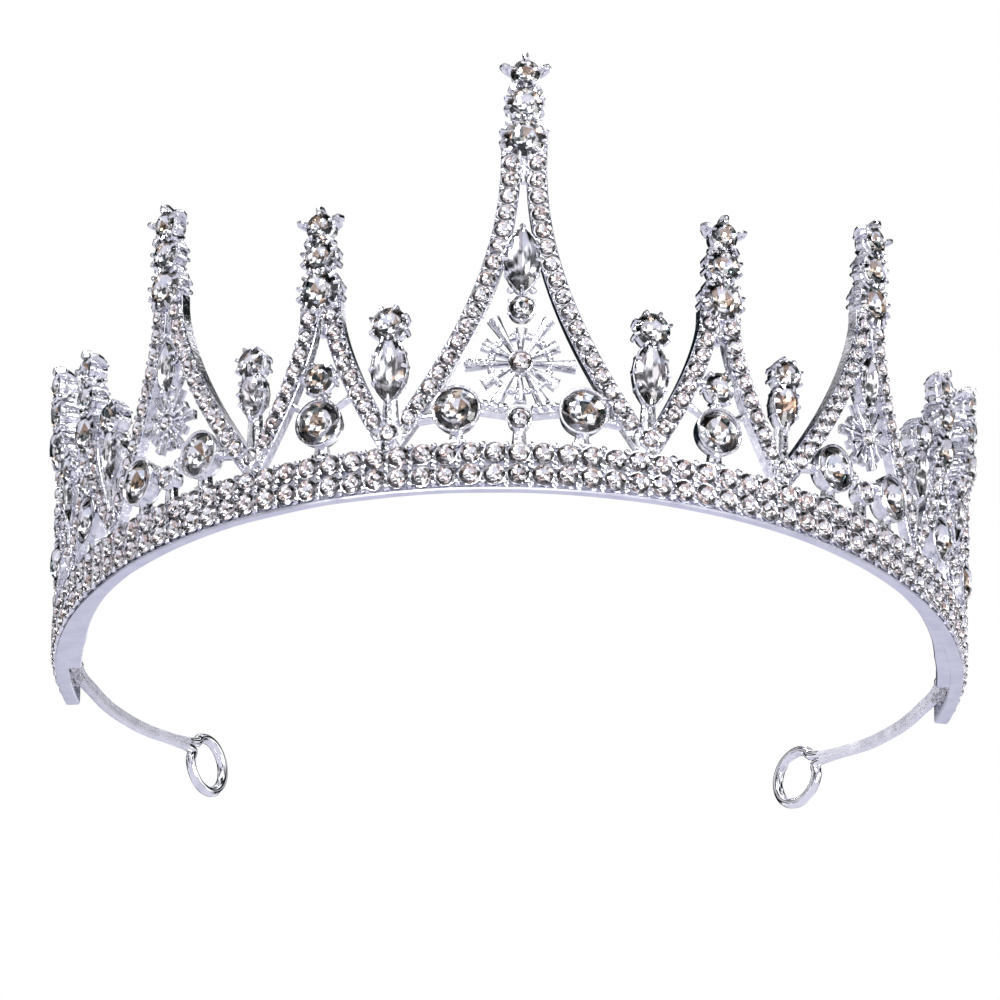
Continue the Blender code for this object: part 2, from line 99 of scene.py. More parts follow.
# foot: how far the two legs' feet are from the arch's middle, front leg first; power: how sharply
# they curve; star and marquise: sizes; cup_z: height of the cup between those two, where there
# is one; drop: height and radius of the cup over the bezel
ARCHES = {
    "1": {"foot": (20.7, 20.7), "power": 2.0, "star": 1.0, "cup_z": 30.8, "marquise": 1.0},
    "2": {"foot": (11.6, 12.5), "power": 1.45, "drop": (21.1, 2.7)},
    "3": {"foot": (18.5, 16.2), "power": 1.50, "star": 0.66, "cup_z": None, "marquise": 0.8},
    "4": {"foot": (8.8, 10.1), "power": 1.45, "drop": (19.9, 1.9)},
    "5": {"foot": (8.6, 8.6), "power": 1.45, "drop": (20.2, 2.0)},
}
STAR_HEIGHT = 21.6
LOW_CUP_HEIGHT = 12.2
RAY_ANGLE = 30.0
STAR_RAYS = (5.9, 8.7, 6.6, 8.6, 6.6, 7.6, 6.4)

# size of the marquise and its cup, and height of the round cup
FINIALS = {"1": (1.0, 28.7), "2": (0.75, 26.4), "3": (0.86, 28.0), "4": (0.8, 26.7)}
FINIAL_CUP = 3.15

WIRE = 1.5
HINGE_X, HINGE_Y = 70.1, 6.0
ARM_ROUTE = (
    (70.1, 6.3, 2.1), (69.5, 9.6, 2.2), (68.2, 14.6, 2.6), (66.7, 20.5, 3.1),
    (64.6, 27.6, 4.0), (60.6, 37.0, 5.2), (55.6, 45.3, 6.6), (52.3, 50.4, 7.4),
)
ANCHOR_START = 102.0
EYE_RADIUS = 4.6
EYE_HEIGHT = 5.45
EYE_WIRE = 1.75
EYE_JOIN = 28.0                        # degrees above level where the arm meets the eye
EYE_TURN = {"left_arm": 2.0, "right_arm": 10.0}    # degrees that each eye is twisted from its arm


# ---------------------------------------------------------------- the wall, from the band's box
band_low, band_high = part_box("band")
HALF_WIDTH = band_high.x / MM
HALF_DEPTH = HALF_WIDTH * WALL_DEPTH_RATIO
CENTRE_Y = band_low.y / MM + HALF_DEPTH


def wall_steps():
    """Points of the ellipse at small steps of its angle, with the arc length from the front."""
    steps = 3000
    rows = [(0.0, 0.0)]
    for i in range(steps):
        turn = math.radians(125.0) / steps
        middle = turn * (i + 0.5)
        speed = math.hypot(HALF_WIDTH * math.cos(middle), HALF_DEPTH * math.sin(middle))
        rows.append((turn * (i + 1), rows[-1][1] + speed * turn))
    return rows


WALL = wall_steps()


def wall_point(arc):
    """The wall's point and outward normal, seen from above, at a signed arc length."""
    side = -1.0 if arc < 0.0 else 1.0
    distance = abs(arc)
    low, high = 0, len(WALL) - 1
    while high - low > 1:
        middle = (low + high) // 2
        if WALL[middle][1] < distance:
            low = middle
        else:
            high = middle
    share = (distance - WALL[low][1]) / (WALL[high][1] - WALL[low][1])
    angle = WALL[low][0] + share * (WALL[high][0] - WALL[low][0])
    point = Vector((side * HALF_WIDTH * math.sin(angle), -HALF_DEPTH * math.cos(angle)))
    normal = Vector((side * HALF_DEPTH * math.sin(angle), -HALF_WIDTH * math.cos(angle)))
    return point, normal.normalized()


def bend(arc, w, z):
    """A point of the flat drawing on the curved wall, in metres, in the row frame."""
    point, normal = wall_point(arc)
    outwards = w + WALL_LEAN * max(0.0, z - BAND_HEIGHT)
    plan = point + normal * outwards
    return Vector((plan.x, plan.y + CENTRE_Y, z)) * MM


def place_of(node):
    """The signed arc and the height of a CAD node's middle, in millimetres."""
    low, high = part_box(node)
    middle = (low + high) / 2 / MM
    plan = Vector((middle.x, middle.y - CENTRE_Y))
    best = min(WALL, key=lambda row: (HALF_WIDTH * math.sin(row[0]) - abs(plan.x)) ** 2
               + (HALF_DEPTH * math.cos(row[0]) + plan.y) ** 2)
    return math.copysign(best[1], plan.x), middle.z


# ---------------------------------------------------------------- materials
def new_material(name):
    made = bpy.data.materials.new(name)
    made.use_nodes = True
    return made, made.node_tree.nodes, made.node_tree.links, made.node_tree.nodes["Principled BSDF"]


def mottle(nodes, links, scale, detail, low, high):
    """Noise at an object-space scale, mapped onto a range."""
    where = nodes.new("ShaderNodeTexCoord")
    texture = nodes.new("ShaderNodeTexNoise")
    texture.inputs["Scale"].default_value = scale
    texture.inputs["Detail"].default_value = detail
    span = nodes.new("ShaderNodeMapRange")
    span.inputs["To Min"].default_value = low
    span.inputs["To Max"].default_value = high
    links.new(where.outputs["Object"], texture.inputs["Vector"])
    links.new(texture.outputs["Fac"], span.inputs["Value"])
    return texture, span


def ramp_of(nodes, stops, interpolation="LINEAR"):
    ramp = nodes.new("ShaderNodeValToRGB")
    ramp.color_ramp.interpolation = interpolation
    marks = ramp.color_ramp.elements
    while len(marks) > 1:
        marks.remove(marks[-1])
    marks[0].position, marks[0].color = stops[0][0], (*stops[0][1], 1.0)
    for position, color in stops[1:]:
        marks.new(position).color = (*color, 1.0)
    return ramp


def metal(name, light, dark, rough, bump, scale, metallic=1.0):
    """Polished plated casting: slight colour drift, uneven polish and a faint cast ripple."""
    made, nodes, links, shader = new_material(name)
    shader.inputs["Metallic"].default_value = metallic
    texture, span = mottle(nodes, links, scale, 4.0, rough * 0.6, rough * 1.6)
    ramp = ramp_of(nodes, ((0.35, dark), (0.6, light)))
    links.new(texture.outputs["Fac"], ramp.inputs["Fac"])
    links.new(ramp.outputs["Color"], shader.inputs["Base Color"])
    links.new(span.outputs["Result"], shader.inputs["Roughness"])
    ripple, _ = mottle(nodes, links, scale * 2.2, 3.0, 0.0, 1.0)
    raised = nodes.new("ShaderNodeBump")
    raised.inputs["Strength"].default_value = bump
    raised.inputs["Distance"].default_value = 0.0002
    links.new(ripple.outputs["Fac"], raised.inputs["Height"])
    links.new(raised.outputs["Normal"], shader.inputs["Normal"])
    return made


def glass(name):
    """The clear crown of a cut stone."""
    made, nodes, links, shader = new_material(name)
    shader.inputs["Transmission Weight"].default_value = 1.0
    shader.inputs["IOR"].default_value = 1.54
    texture, span = mottle(nodes, links, 400.0, 2.0, 0.0, 0.03)
    ramp = ramp_of(nodes, ((0.3, (0.96, 0.95, 0.96)), (0.7, (1.0, 1.0, 1.0))))
    links.new(texture.outputs["Fac"], ramp.inputs["Fac"])
    links.new(ramp.outputs["Color"], shader.inputs["Base Color"])
    links.new(span.outputs["Result"], shader.inputs["Roughness"])
    return made


def foil(name, stops, rough):
    """The mirrored back of a cut stone, with painted reflections: each facet is painted one of the light,
    dark and warm tones that reflections give it.
    """
    made, nodes, links, shader = new_material(name)
    shader.inputs["Metallic"].default_value = 1.0
    shader.inputs["Roughness"].default_value = rough
    facet = nodes.new("ShaderNodeAttribute")
    facet.attribute_name = "facet"
    ramp = ramp_of(nodes, stops, "CONSTANT")
    links.new(facet.outputs["Fac"], ramp.inputs["Fac"])
    links.new(ramp.outputs["Color"], shader.inputs["Base Color"])
    return made


SILVER = metal("silver_cast", (0.92, 0.92, 0.94), (0.70, 0.70, 0.76), 0.08, 0.5, 700.0)
# Painted shade: a darker, rougher silver for the hollows in the cups and behind the star rays, darkened
# to stand in for the shade that falls there.
RECESS_PAINTED_SHADE = metal("silver_recess_painted_shade", (0.76, 0.76, 0.79), (0.34, 0.34, 0.37), 0.35, 0.6, 900.0)
# Silver for the lip and ledge, with the lavender of the light from below painted into its colour.
LIP = metal("silver_lip", (0.82, 0.82, 0.90), (0.70, 0.70, 0.80), 0.34, 0.25, 260.0)
WIRE_SILVER = metal("silver_wire", (0.88, 0.88, 0.94), (0.80, 0.80, 0.88), 0.5, 0.2, 320.0, 0.6)
EYE_SILVER = metal("silver_eye", (0.90, 0.90, 0.93), (0.74, 0.74, 0.79), 0.08, 0.06, 320.0)
SOLDER = metal("solder", (0.80, 0.80, 0.84), (0.38, 0.36, 0.36), 0.4, 1.0, 1500.0)
CROWN = glass("crystal_crown")
# Painted reflections: each foil's light steps are its silver, while its grey, dark and brown steps stand
# in for what the facets reflect.
SMALL_FOIL_PAINTED_REFLECTIONS = foil("foil_small_painted_reflections", (
    (0.0, (0.99, 0.98, 0.98)), (0.38, (0.91, 0.83, 0.83)), (0.58, (0.66, 0.55, 0.54)),
    (0.67, (0.94, 0.95, 0.98)), (0.84, (0.14, 0.13, 0.14)), (0.91, (0.68, 0.53, 0.47)),
), 0.14)
NAVETTE_FOIL_PAINTED_REFLECTIONS = foil("foil_navette_painted_reflections", (
    (0.0, (0.99, 0.99, 0.99)), (0.40, (0.86, 0.88, 0.92)), (0.58, (0.70, 0.66, 0.68)),
    (0.72, (0.46, 0.45, 0.48)), (0.80, (0.97, 0.97, 0.99)), (0.93, (0.55, 0.40, 0.31)),
), 0.12)
LARGE_FOIL_PAINTED_REFLECTIONS = foil("foil_large_painted_reflections", (
    (0.0, (0.99, 0.98, 0.99)), (0.33, (0.60, 0.48, 0.39)), (0.45, (0.04, 0.06, 0.06)),
    (0.54, (0.80, 0.78, 0.78)), (0.68, (0.88, 0.92, 0.98)), (0.82, (0.38, 0.27, 0.19)),
    (0.91, (0.30, 0.32, 0.31)),
), 0.1)


# ---------------------------------------------------------------- flat drawing
class Sketch:
    """Closed solids in flat millimetres, each face with a finish and a facet tone, the number that picks
    a stone facet's painted reflection.
    """

    def __init__(self, *finishes):
        self.finishes = finishes
        self.verts = []
        self.faces = []

    def face(self, ring, finish, smooth=True, tone=0.0):
        self.faces.append((ring, self.finishes.index(finish), smooth, tone))

    def points(self, points):
        start = len(self.verts)
        self.verts.extend(points)
        return list(range(start, len(self.verts)))

    def rings(self, rings, finish, inner=None):
        """A closed solid from rings of equal length; inner is the finish of the last cap."""
        made = [self.points(ring) for ring in rings]
        count = len(made[0])
        for lower, upper in zip(made, made[1:]):
            for i in range(count):
                j = (i + 1) % count
                self.face((lower[i], lower[j], upper[j], upper[i]), finish)
        self.face(made[0], finish)
        self.face(made[-1], inner or finish)

    def torus(self, rings, finish):
        """A closed solid from rings that join up end to end."""
        made = [self.points(ring) for ring in rings]
        count = len(made[0])
        for k, lower in enumerate(made):
            upper = made[(k + 1) % len(made)]
            for i in range(count):
                j = (i + 1) % count
                self.face((lower[i], lower[j], upper[j], upper[i]), finish)


def circle(sides, phase=0.0):
    return [(math.cos(phase + TAU * i / sides), math.sin(phase + TAU * i / sides)) for i in range(sides)]


def disc(radius, sides, phase=0.0):
    return [(radius * x, radius * y) for x, y in circle(sides, phase)]


def marquise(half_width, half_length, points_per_side=7):
    """A marquise outline, two arcs that meet in a tip at the top and at the bottom."""
    arc_radius = (half_width ** 2 + half_length ** 2) / (2 * half_width)
    reach = math.asin(half_length / arc_radius)
    outline = []
    for side in (1, -1):
        for i in range(points_per_side):
            turn = side * (-reach + 2 * reach * i / points_per_side)
            bulge = arc_radius * math.cos(turn) - (arc_radius - half_width)
            outline.append((side * bulge, arc_radius * math.sin(turn)))
    return outline


def lathe(sketch, u, z, outline, profile, inner=SILVER):
    """Scaled copies of an outline at the depths of a profile of (scale, w)."""
    rings = [[(u + scale * x, w, z + scale * y) for x, y in outline] for scale, w in profile]
    sketch.rings(rings, SILVER, inner)


def ball(sketch, u, w, z, radius, flat=1.0, sides=8, finish=SILVER):
    """A small bead."""
    rings = []
    for level in (-0.97, -0.7, -0.05, 0.6, 0.95):
        wide = radius * math.sqrt(1 - level * level)
        rings.append([(u + wide * x, w + level * radius * flat, z + wide * y) for x, y in circle(sides)])
    sketch.rings(rings, finish)


def grain(sketch, u, z, radius, back, front):
    """A round-topped grain of metal that holds the stones beside it."""
    lathe(sketch, u, z, disc(radius, 7), (
        (1.0, back), (1.0, front - radius * 0.7), (0.8, front - radius * 0.2), (0.35, front)))


def tube(sketch, route, radii, sides, finish=SILVER):
    """A round wire along a route, with rounded ends."""
    route = [Vector(point) for point in route]
    first, last = (route[0] - route[1]).normalized(), (route[-1] - route[-2]).normalized()
    route = [route[0] + first * radii[0] * 0.55] + route + [route[-1] + last * radii[-1] * 0.55]
    radii = [radii[0] * 0.5] + list(radii) + [radii[-1] * 0.5]
    normal = None
    rings = []
    for i, point in enumerate(route):
        along = direction_at(route, i)
        if normal is None:
            normal = along.orthogonal().normalized()
        normal = (normal - along * normal.dot(along)).normalized()
        across = along.cross(normal)
        rings.append([tuple(point + (normal * x + across * y) * radii[i]) for x, y in circle(sides)])
    sketch.rings(rings, finish)


def direction_at(route, i):
    return (route[min(i + 1, len(route) - 1)] - route[max(i - 1, 0)]).normalized()


def bar(sketch, start, end, widths, back, front, crown=0.35, finish=SILVER):
    """A bar between two points in u and z, with its own width at each end and a crowned front."""
    start, end = Vector(start), Vector(end)
    along = (end - start).normalized()
    across = Vector((-along.y, along.x))
    section = ((-1.0, back), (-1.0, front - crown), (-0.6, front - crown * 0.2), (0.0, front),
               (0.6, front - crown * 0.2), (1.0, front - crown), (1.0, back))
    rings = []
    for share in (0.0, 0.33, 0.67, 1.0):
        half = (widths[0] + (widths[1] - widths[0]) * share) / 2
        middle = start.lerp(end, share)
        rings.append([(middle.x + across.x * a * half, w, middle.y + across.y * a * half)
                      for a, w in section])
    sketch.rings(rings, finish)


# ---------------------------------------------------------------- stones and settings
def tilted(points, centre, draw, amount):
    """The points leaned slightly about the centre, as a stone sits in its cup."""
    a, b = draw.uniform(-amount, amount), draw.uniform(-amount, amount)
    return [(u, w + a * (u - centre[0]) + b * (z - centre[2]), z) for u, w, z in points]


def round_stone(sketch, u, w, z, radius, draw, backing, lean=0.07):
    """A foil-backed chaton: an eight-sided table, kite and triangle facets, girdle and pavilion."""
    phase = draw.uniform(0, TAU)

    def corners(share, rise, sides, turned=0.0):
        around = circle(sides, phase + turned)
        return [(u + share * radius * x, w + rise * radius, z + share * radius * y) for x, y in around]

    table = corners(TABLE_SHARE, CROWN_RISE, 8, TAU / 16)
    girdle = corners(1.0, 0.0, 16)
    under = corners(1.0, -GIRDLE_DROP, 16)
    mains = corners(MAINS_SHARE, -MAINS_DROP, 8)
    culet = [(u, w - CULET_DROP * radius, z)]
    ids = sketch.points(tilted(table + girdle + under + mains + culet, (u, w, z), draw, lean))
    top, belt, low, deep, tip = ids[:8], ids[8:24], ids[24:40], ids[40:48], ids[48]
    sketch.face(tuple(top), CROWN, False)
    for i in range(8):
        g = 2 * i
        sketch.face((top[i - 1], top[i], belt[g]), CROWN, False)
        sketch.face((top[i], belt[g], belt[g + 1]), CROWN, False)
        sketch.face((top[i], belt[g + 1], belt[(g + 2) % 16]), CROWN, False)
    for i in range(16):
        j = (i + 1) % 16
        sketch.face((belt[i], belt[j], low[j], low[i]), CROWN, False)
    # Pavilion facets: each gets a random pick of the foil's painted reflection tones.
    for i in range(8):
        g, after = 2 * i, (i + 1) % 8
        sketch.face((low[g], low[g + 1], deep[i]), backing, False, draw.random())
        sketch.face((low[g + 1], low[(g + 2) % 16], deep[after]), backing, False, draw.random())
        sketch.face((low[g + 1], deep[after], deep[i]), backing, False, draw.random())
        sketch.face((deep[i], deep[after], tip), backing, False, draw.random())


def marquise_stone(sketch, z, size, draw):
    """A foil-backed navette with long facets."""
    w = 0.1
    half_length = MARQUISE_LENGTH * size + 0.42
    outline = marquise(MARQUISE_WIDTH * size + 0.32, half_length, 6)
    count = len(outline)
    half = count // 2
    table = [(0.46 * x, w + 0.85, z + 0.50 * y) for x, y in outline[::2]]
    girdle = [(x, w, z + y) for x, y in outline]
    under = [(x, w - 0.1, z + y) for x, y in outline]
    keel = [(0.0, w - 1.15, z - 0.3 * half_length), (0.0, w - 1.15, z + 0.3 * half_length)]
    ids = sketch.points(tilted(table + girdle + under + keel, (0.0, w, z), draw, 0.03))
    top, belt = ids[:half], ids[half:half + count]
    low, deep = ids[half + count:half + 2 * count], ids[-2:]
    sketch.face(tuple(top), CROWN, False)
    for i in range(half):
        g = 2 * i
        after = (i + 1) % half
        sketch.face((top[i], belt[g], belt[g + 1]), CROWN, False)
        sketch.face((top[i], belt[g + 1], top[after]), CROWN, False)
        sketch.face((top[after], belt[g + 1], belt[(g + 2) % count]), CROWN, False)
    for i in range(count):
        j = (i + 1) % count
        near = [deep[1] if outline[k][1] > 0.01 else deep[0] for k in (i, j)]
        sketch.face((belt[i], belt[j], low[j], low[i]), CROWN, False)
        # Pavilion facets: each gets a random pick of the foil's painted reflection tones.
        if near[0] == near[1]:
            sketch.face((low[i], low[j], near[0]), NAVETTE_FOIL_PAINTED_REFLECTIONS, False, draw.random())
        else:
            sketch.face((low[i], low[j], near[1], near[0]), NAVETTE_FOIL_PAINTED_REFLECTIONS, False, draw.random())


def claw(sketch, z, radius, turn, back, girdle, thick):
    """One prong up the side of a round cup, bent over the stone's edge."""
    x, y = math.cos(turn), math.sin(turn)
    path = ((0.80, back), (0.97, back + 0.9), (1.03, girdle - 0.3), (1.02, girdle + 0.25),
            (0.80, girdle + 0.55))
    route = [(radius * r * x, w, z + radius * r * y) for r, w in path]
    tube(sketch, route, (thick * 0.8, thick, thick, thick, thick * 0.75), 6)


def prong_cup(sketch, z, radius, back, girdle, claws, phase, thick=0.34):
    """A tapered cup with a gallery ring and prongs round its rim."""
    # The cup's floor under the stone is painted shade: it takes the darkened recess finish.
    lathe(sketch, 0.0, z, disc(radius, 20), (
        (0.66, back), (0.74, back + 0.25), (0.80, girdle - 1.5), (0.92, girdle - 1.3),
        (0.92, girdle - 1.0), (0.84, girdle - 0.85), (0.93, girdle - 0.3), (0.95, girdle),
        (0.92, girdle + 0.05), (0.90, girdle - 0.15), (0.2, girdle - 0.70 * radius)), RECESS_PAINTED_SHADE)
    for i in range(claws):
        claw(sketch, z, radius, phase + TAU * i / claws, back + 0.1, girdle, thick)


def bezel_cup(sketch, u, z):
    """A plain cup with a rolled rim."""
    back = -2.75
    # The bezel's floor under the stone is painted shade: it takes the darkened recess finish.
    lathe(sketch, u, z, disc(BEZEL_CUP, 32), (
        (0.70, back), (0.76, back + 0.15), (0.90, back + 0.9), (0.97, -0.6), (0.98, 0.2),
        (1.0, 0.35), (1.0, 0.5), (0.97, 0.62), (0.92, 0.62), (0.89, 0.5), (0.885, 0.1),
        (0.2, 0.1 - 0.66 * BEZEL_CUP)), RECESS_PAINTED_SHADE)


def small_cup(sketch, u, z, radius, back, beads=4):
    """A thin-walled cup for a small stone, with a few grains holding it."""
    # The cup's floor under the stone is painted shade: it takes the darkened recess finish.
    lathe(sketch, u, z, disc(radius, 16), (
        (0.75, back), (0.95, back + 0.7), (1.0, -0.2), (1.0, 0.1), (0.95, 0.2), (0.89, 0.15),
        (0.87, -0.1), (0.2, -0.70 * radius)), RECESS_PAINTED_SHADE)
    for i in range(beads):
        turn = TAU * (i + 0.5) / beads
        ball(sketch, u + radius * math.cos(turn), 0.1, z + radius * math.sin(turn), 0.3)


# ---------------------------------------------------------------- pieces
def placed(sketch, name, arc, side, nodes=()):
    """Turn a sketch into a piece on the wall; side -1 mirrors it to the left."""
    work = bmesh.new()
    # The facet layer holds each face's pick among the foil's painted reflection tones.
    tones = work.faces.layers.float.new("facet")
    verts = [work.verts.new(co) for co in sketch.verts]
    for ring, finish, smooth, tone in sketch.faces:
        made = work.faces.new([verts[i] for i in ring])
        made.material_index = finish
        made.smooth = smooth
        made[tones] = tone
    bmesh.ops.recalc_face_normals(work, faces=work.faces)
    for vert in work.verts:
        vert.co = bend(side * (abs(arc) + vert.co.x), vert.co.y, vert.co.z)
    if side == 1:
        bmesh.ops.reverse_faces(work, faces=work.faces)
    return finished(work, sketch.finishes, name, nodes, "root")


def finished(work, finishes, name, nodes, body):
    """Turn a mesh into a piece, parented to its body's empty where a body is given."""
    mesh = bpy.data.meshes.new(name)
    work.to_mesh(mesh)
    work.free()
    for finish in finishes:
        mesh.materials.append(finish)
    mesh.set_sharp_from_angle(angle=math.radians(38.0))
    piece = bpy.data.objects.new(name, mesh)
    bpy.context.scene.collection.objects.link(piece)
    if nodes:
        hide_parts(*nodes)
    if body:
        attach(piece, body)
    return piece


# ---------------------------------------------------------------- band
def wavy(arc, amount, seed):
    """A small hand-made waviness along the band."""
    return amount * noise.noise(Vector((arc * 0.11, seed, 0.0)))


def strip_along(sketch, sections, start, end):
    """Rings about a millimetre apart along the wall, each the cross-section at its arc."""
    count = int(round(abs(end - start)))
    rings = []
    for i in range(count + 1):
        arc = start + (end - start) * i / count
        rings.append([(arc, w, z) for w, z in sections(arc)])
    sketch.rings(rings, LIP)


def growth(arc, start, length):
    """0 up to an arc from the front, 1 from a length further on."""
    return min(max((abs(arc) - start) / length, 0.0), 1.0)


def band_section(arc):
    """The band's cross-section: a smooth lip below and a flat front that carries the cups."""
    share = growth(arc, LIP_START, LIP_GROWTH)
    back = -LIP_FRONT - (BAND_THICKNESS - LIP_FRONT) * share + wavy(arc, 0.14, 3.0)
    low = wavy(arc, 0.08, 9.0) + 0.06
    return (
        (back, low + 0.3), (back + 0.25, low), (-0.45, low), (-0.10, low + 0.15), (-0.08, 0.55),
        (-0.3, 0.8), (-0.95, 0.9), (-0.95, 7.7), (-1.2, 7.95), (back + 0.3, 7.95), (back, 7.7),
    )


def ledge_section(arc):
    """Metal that joins the arms' anchors to the inside of the band, growing from nothing."""
    grown = growth(arc, LEDGE_START, LEDGE_GROWTH)
    back = -BAND_THICKNESS + 0.75 - 2.75 * grown ** 1.5 + wavy(arc, 0.08, 5.0)
    front = -BAND_THICKNESS + 1.0
    return ((back, 0.5), (back + 0.2, 0.2), (front, 0.1), (front, 3.4), (back + 0.3, 3.4), (back, 3.0))


def make_band(draw):
    metal_work = Sketch(LIP, SILVER, RECESS_PAINTED_SHADE)
    strip_along(metal_work, band_section, -BAND_HALF_ARC, BAND_HALF_ARC)
    for side in (-1, 1):
        strip_along(metal_work, ledge_section, side * LEDGE_START, side * LEDGE_END)
    stones = Sketch(CROWN, SMALL_FOIL_PAINTED_REFLECTIONS)
    for row in BAND_ROWS:
        for i in range(-STONES_EACH_SIDE, STONES_EACH_SIDE + 1):
            u = i * STONE_PITCH
            z = row + draw.uniform(-0.08, 0.08)
            # Each band cup's floor under its stone is painted shade: it takes the darkened recess finish.
            lathe(metal_work, u, z, disc(BAND_CUP, 14, draw.uniform(0, 1)), (
                (0.90, -1.3), (0.97, -0.5), (0.99, 0.0), (0.97, 0.12), (0.93, 0.1), (0.91, -0.1),
                (0.2, -1.1)), RECESS_PAINTED_SHADE)
            round_stone(stones, u + draw.uniform(-0.05, 0.05), 0.12, z, BAND_STONE, draw, SMALL_FOIL_PAINTED_REFLECTIONS, 0.1)
            between = u + STONE_PITCH / 2
            for lift in (-1.4, 1.4):
                grain(metal_work, between, row + lift, draw.uniform(0.50, 0.66), -1.0, 0.45)
            grain(metal_work, between, row, draw.uniform(0.24, 0.32), -1.0, 0.2)
    placed(metal_work, "band_casting", 0.0, 1, ["band"])
    placed(stones, "band_stones", 0.0, 1)


# ---------------------------------------------------------------- arches
def leg_curve(foot, large_z, power):
    """A function that gives the leg's distance from the arch's middle at a height."""
    top = large_z - LEGS_BELOW_SPIRE
    rise = top - LEG_FOOT - 0.3
    spread = foot - LEG_TOP_SPACING

    def middle(z):
        below = max(0.0, top - z) / rise
        return LEG_TOP_SPACING + spread * below ** power

    return middle


def leg_route(middle, low, high, side):
    count = 28
    heights = [low + (high - low) * i / count for i in range(count + 1)]
    return [Vector((side * middle(z), z)) for z in heights]


def spaced(route, pitch):
    """Points at equal steps along a route, as near to the pitch as fills it."""
    lengths = [0.0]
    for a, b in zip(route, route[1:]):
        lengths.append(lengths[-1] + (b - a).length)
    count = max(1, round(lengths[-1] / pitch))
    found = []
    for k in range(count + 1):
        target = lengths[-1] * k / count
        i = 0
        while i < len(route) - 2 and lengths[i + 1] < target:
            i += 1
        share = (target - lengths[i]) / (lengths[i + 1] - lengths[i])
        along = (route[i + 1] - route[i]).normalized()
        found.append((route[i].lerp(route[i + 1], share), along))
    return found


def make_leg(casting, pave, foot, large_z, power, side, draw):
    """One leg: a thin-walled channel, with a row of small stones in scalloped cups."""
    middle = leg_curve(foot, large_z, power)
    route = leg_route(middle, LEG_FOOT - 0.6, large_z - LEGS_INTO_SPIRE, side)
    wall = ((LEG_HALF_WIDTH, -LEG_THICKNESS), (LEG_HALF_WIDTH, -0.3), (1.52, -0.2), (1.42, -0.3),
            (1.3, -1.1))
    section = [(-a, w) for a, w in wall] + list(wall[::-1])
    rings = []
    for i, point in enumerate(route):
        along = direction_at(route, i)
        across = Vector((-along.y, along.x))
        rings.append([(point.x + across.x * a, w, point.y + across.y * a) for a, w in section])
    casting.rings(rings, SILVER)
    stone_route = leg_route(middle, JUNCTION_HEIGHT + 2.3, large_z - LEGS_BELOW_SPIRE - 0.1, side)
    for point, along in spaced(stone_route, LEG_STONE_PITCH):
        # Each leg cup's floor under its stone is painted shade: it takes the darkened recess finish.
        lathe(casting, point.x, point.y, disc(LEG_CUP, 12, draw.uniform(0, 1)), (
            (0.92, -1.3), (1.0, -0.1), (0.97, 0.05), (0.93, 0.05), (0.91, -0.1), (0.2, -1.15)), RECESS_PAINTED_SHADE)
        round_stone(pave, point.x, 0.04, point.y, LEG_STONE, draw, SMALL_FOIL_PAINTED_REFLECTIONS, 0.12)
        across = Vector((-along.y, along.x))
        for lateral in (-1.1, 1.1):
            at = point + along * LEG_STONE_PITCH / 2 + across * lateral
            grain(casting, at.x, at.y, draw.uniform(0.34, 0.44), -1.2, 0.34)


def make_junction(casting, pave, u, draw):
    """The shared foot of two neighbouring legs, with its own stone."""
    bar(casting, (u, LEG_FOOT - 0.5), (u, JUNCTION_HEIGHT + 1.0), (3.4, 3.9), -1.85, -0.4)
    small_cup(casting, u, JUNCTION_HEIGHT, JUNCTION_CUP, -1.8, 6)
    round_stone(pave, u, 0.1, JUNCTION_HEIGHT, JUNCTION_STONE, draw, SMALL_FOIL_PAINTED_REFLECTIONS, 0.1)


def make_spire(casting, small, large_z, draw):
    """The stacked cups over an arch, ribbed at the sides, with a five-pointed cup on top."""
    medium = large_z + MEDIUM_RISE
    top = large_z + TOP_RISE
    prong_cup(casting, large_z, LARGE_CUP, -3.0, 0.3, 12, 0.26, 0.42)
    prong_cup(casting, medium, MEDIUM_CUP, -2.9, 0.3, 10, 0.31, 0.4)
    prong_cup(casting, top, TOP_CUP, -2.8, 0.3, 5, TAU / 4, 0.42)
    for i in range(5):
        turn = TAU / 4 + TAU * i / 5
        x, z = math.cos(turn), math.sin(turn)
        reach = 1.0 if i == 0 else 1.16
        path = ((2.1, -2.0), (2.75, -1.0), (3.15, -0.1), (2.95, 0.7), (2.3, 0.95))
        route = [(r * reach * x, w, top + r * reach * z) for r, w in path]
        tube(casting, route, (0.5, 0.62, 0.6, 0.5, 0.34), 7)
    round_stone(small, 0.0, 0.35, medium, MEDIUM_STONE, draw, LARGE_FOIL_PAINTED_REFLECTIONS, 0.06)
    round_stone(small, 0.0, 0.35, top, TOP_STONE, draw, LARGE_FOIL_PAINTED_REFLECTIONS, 0.06)
    top_gap = large_z - LEGS_BELOW_SPIRE
    bar(casting, (0.0, top_gap - 3.0), (0.0, top_gap + 1.2), (0.7, 2.4), -1.8, -0.25, 0.5)
    for lift in (3.3, 8.6):
        bar(casting, (-0.9, large_z + lift), (0.9, large_z + lift), (2.2, 2.2), -2.6, -0.9)


def setting_on_post(casting, u, z):
    """A bezel with its post, which widens into the band."""
    bezel_cup(casting, u, z)
    bar(casting, (u, LEG_FOOT - 0.4), (u, z - 2.4), (2.6, 1.7), -1.9, -0.35)
    bar(casting, (u - 1.5, LEG_FOOT + 0.1), (u + 1.5, LEG_FOOT + 0.1), (1.0, 1.0), -1.6, -0.3)


def nuggets(casting, start, end, count, radius, draw):
    """Small cast lumps along a bar."""
    for i in range(count):
        share = (i + 0.5) / count
        u = start[0] + (end[0] - start[0]) * share
        z = start[1] + (end[1] - start[1]) * share
        ball(casting, u, -0.6 + draw.uniform(-0.1, 0.15), z + draw.uniform(-0.15, 0.15),
             radius * draw.uniform(0.8, 1.15), 0.8, 7)


